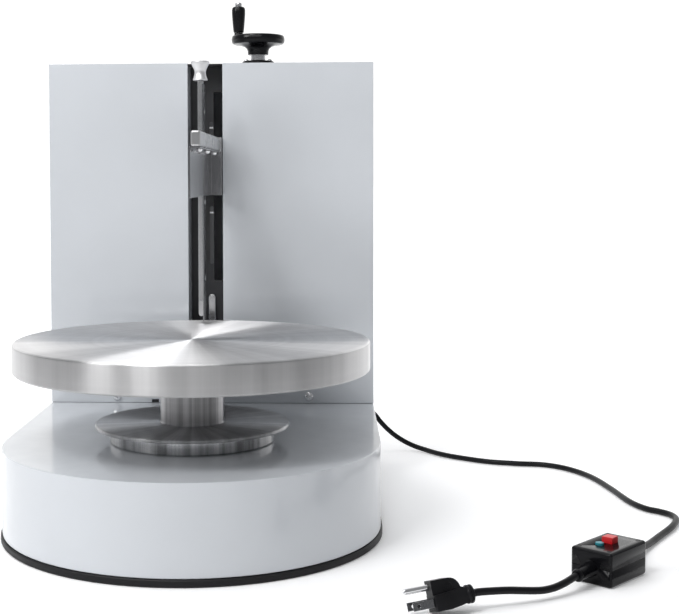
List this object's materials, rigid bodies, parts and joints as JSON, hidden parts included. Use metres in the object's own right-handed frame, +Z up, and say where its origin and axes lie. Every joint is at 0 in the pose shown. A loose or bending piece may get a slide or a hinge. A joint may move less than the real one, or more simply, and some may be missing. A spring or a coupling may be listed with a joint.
{
  "type": "cake spreading machine",
  "caption": "Powered cake turntable on a drum base, with a hand-cranked lifting top scraper and a sliding side scraper on a tall rear column.",
  "frame": {"origin": "centre of the machine's own footprint, on the surface it stands on, cord and plug left out", "axes": "+Z up, -Y towards the operator (the turntable side), +X to the operator's right"},
  "size_m": [0.6669, 0.626, 0.5377],
  "materials": {
    "base_shell": "gloss white-grey enamel",
    "base_plate": "black enamel",
    "base_edge_trim": "black rubber",
    "spindle_flange_ring": "satin stainless",
    "spindle_bearing": "satin stainless",
    "drive_motor": "black enamel",
    "motor_bracket": "satin stainless",
    "drive_belt": "black rubber",
    "turntable_disc": "turned",
    "turntable_hub": "turned",
    "catch_disc": "satin stainless",
    "spindle_shaft": "satin stainless",
    "driven_pulley": "black",
    "drive_pulley": "black",
    "column_left_cover": "gloss white-grey enamel",
    "column_right_cover": "gloss white-grey enamel",
    "column_back_cover": "gloss white-grey enamel",
    "column_top_plate": "gloss white-grey enamel",
    "channel_liner": "black enamel",
    "slot_strip_upper": "satin stainless",
    "slot_strip_lower": "satin stainless",
    "lower_slot_bracket": "turned",
    "side_rod_guide": "black enamel",
    "column_screw_left": "polished",
    "column_screw_right": "polished",
    "top_bearing_flange": "black enamel",
    "flange_screw_left": "satin stainless",
    "flange_screw_right": "satin stainless",
    "screw_foot_bearing": "satin stainless",
    "guide_rod_left": "satin stainless",
    "guide_rod_right": "satin stainless",
    "lift_carriage": "turned",
    "lead_nut": "plain",
    "top_scraper_bar": "turned",
    "top_scraper_blade": "satin stainless",
    "blade_bolt_1": "satin stainless",
    "blade_bolt_2": "satin stainless",
    "blade_bolt_3": "satin stainless",
    "leadscrew": "satin stainless",
    "handwheel": "glossy black",
    "grip_stud": "polished",
    "handle_grip": "glossy black",
    "side_post": "turned",
    "side_blade": "satin stainless",
    "side_knob": "turned",
    "side_slide_rod": "satin stainless",
    "side_lock_screw": "polished",
    "speed_knob": "black",
    "switch_frame": "black",
    "power_rocker": "red",
    "cord_gland": "black",
    "power_cord": "black rubber",
    "plug_lead": "black rubber",
    "inline_box": "glossy black",
    "reset_button": "red",
    "test_button": "teal",
    "plug_body": "black",
    "plug_blade_near": "plain",
    "plug_blade_far": "plain",
    "plug_ground_pin": "plain"
  },
  "bodies": {
    "frame": {"base_shell": "base_shell", "base_plate": "base_plate", "base_edge_trim": "base_edge_trim", "spindle_flange_ring": "spindle_flange_ring", "spindle_bearing": "spindle_bearing", "drive_motor": "drive_motor", "motor_bracket": "motor_bracket", "drive_belt": "drive_belt", "column_left_cover": "column_left_cover", "column_right_cover": "column_right_cover", "column_back_cover": "column_back_cover", "column_top_plate": "column_top_plate", "channel_liner": "channel_liner", "slot_strip_upper": "slot_strip_upper", "slot_strip_lower": "slot_strip_lower", "lower_slot_bracket": "lower_slot_bracket", "side_rod_guide": "side_rod_guide", "column_screw_left": "column_screw_left", "column_screw_right": "column_screw_right", "top_bearing_flange": "top_bearing_flange", "flange_screw_left": "flange_screw_left", "flange_screw_right": "flange_screw_right", "screw_foot_bearing": "screw_foot_bearing", "guide_rod_left": "guide_rod_left", "guide_rod_right": "guide_rod_right", "switch_frame": "switch_frame", "cord_gland": "cord_gland", "power_cord": "power_cord", "plug_lead": "plug_lead", "inline_box": "inline_box", "plug_body": "plug_body", "plug_blade_near": "plug_blade_near", "plug_blade_far": "plug_blade_far", "plug_ground_pin": "plug_ground_pin"},
    "turntable": {"turntable_disc": "turntable_disc", "turntable_hub": "turntable_hub", "catch_disc": "catch_disc", "spindle_shaft": "spindle_shaft", "driven_pulley": "driven_pulley"},
    "motor_pulley": {"drive_pulley": "drive_pulley"},
    "crank": {"leadscrew": "leadscrew", "handwheel": "handwheel", "grip_stud": "grip_stud"},
    "grip": {"handle_grip": "handle_grip"},
    "lift": {"lift_carriage": "lift_carriage", "lead_nut": "lead_nut", "top_scraper_bar": "top_scraper_bar", "top_scraper_blade": "top_scraper_blade", "blade_bolt_1": "blade_bolt_1", "blade_bolt_2": "blade_bolt_2", "blade_bolt_3": "blade_bolt_3"},
    "side_scraper": {"side_post": "side_post", "side_blade": "side_blade", "side_knob": "side_knob", "side_slide_rod": "side_slide_rod"},
    "side_lock": {"side_lock_screw": "side_lock_screw"},
    "speed_control": {"speed_knob": "speed_knob"},
    "power_switch": {"power_rocker": "power_rocker"},
    "reset": {"reset_button": "reset_button"},
    "test": {"test_button": "test_button"}
  },
  "joints": [
    {"name": "turntable_spin", "type": "hinge", "parent": "frame", "child": "turntable", "pos_m": [0.0064, -0.0784, 0.1834], "axis": [0, 0, 1], "continuous": true},
    {"name": "motor_pulley_spin", "type": "hinge", "parent": "frame", "child": "motor_pulley", "pos_m": [0.0064, 0.1116, 0.038], "axis": [0, 0, 1], "continuous": true},
    {"name": "crank_turn", "type": "hinge", "parent": "frame", "child": "crank", "pos_m": [0.0569, 0.1726, 0.49], "axis": [0, 0, 1], "range_deg": [-3600, 6840]},
    {"name": "grip_spin", "type": "hinge", "parent": "crank", "child": "grip", "pos_m": [0.0347, 0.1726, 0.515], "axis": [0, 0, 1], "continuous": true},
    {"name": "lift_slide", "type": "slide", "parent": "frame", "child": "lift", "axis": [0, 0, 1], "range_m": [-0.095, 0.05]},
    {"name": "side_scraper_slide", "type": "slide", "parent": "frame", "child": "side_scraper", "axis": [0, 1, 0], "range_m": [-0.057, 0.022]},
    {"name": "side_lock_turn", "type": "hinge", "parent": "frame", "child": "side_lock", "pos_m": [0.0003, 0.1376, 0.325], "axis": [0, 0, 1], "range_deg": [0, 180]},
    {"name": "speed_knob_turn", "type": "hinge", "parent": "frame", "child": "speed_control", "pos_m": [-0.1806, 0.0716, 0.048], "axis": [-1, 0, 0], "range_deg": [0, 270]},
    {"name": "power_rocker_tilt", "type": "hinge", "parent": "frame", "child": "power_switch", "pos_m": [-0.1726, 0.0216, 0.048], "axis": [0, 0, 1], "range_deg": [-14, 0]},
    {"name": "reset_press", "type": "slide", "parent": "frame", "child": "reset", "axis": [0, 0, -1], "range_m": [0, 0.0012], "stiffness_N_per_m": 500, "springref_m": -0.0005},
    {"name": "test_press", "type": "slide", "parent": "frame", "child": "test", "axis": [0, 0, -1], "range_m": [0, 0.0012], "stiffness_N_per_m": 500, "springref_m": -0.0005}
  ],
  "couplings": [
    {"joint": "motor_pulley_spin", "follows": "turntable_spin", "ratio": 3},
    {"joint": "crank_turn", "follows": "lift_slide", "rad_per_m": -1256.6}
  ]
}
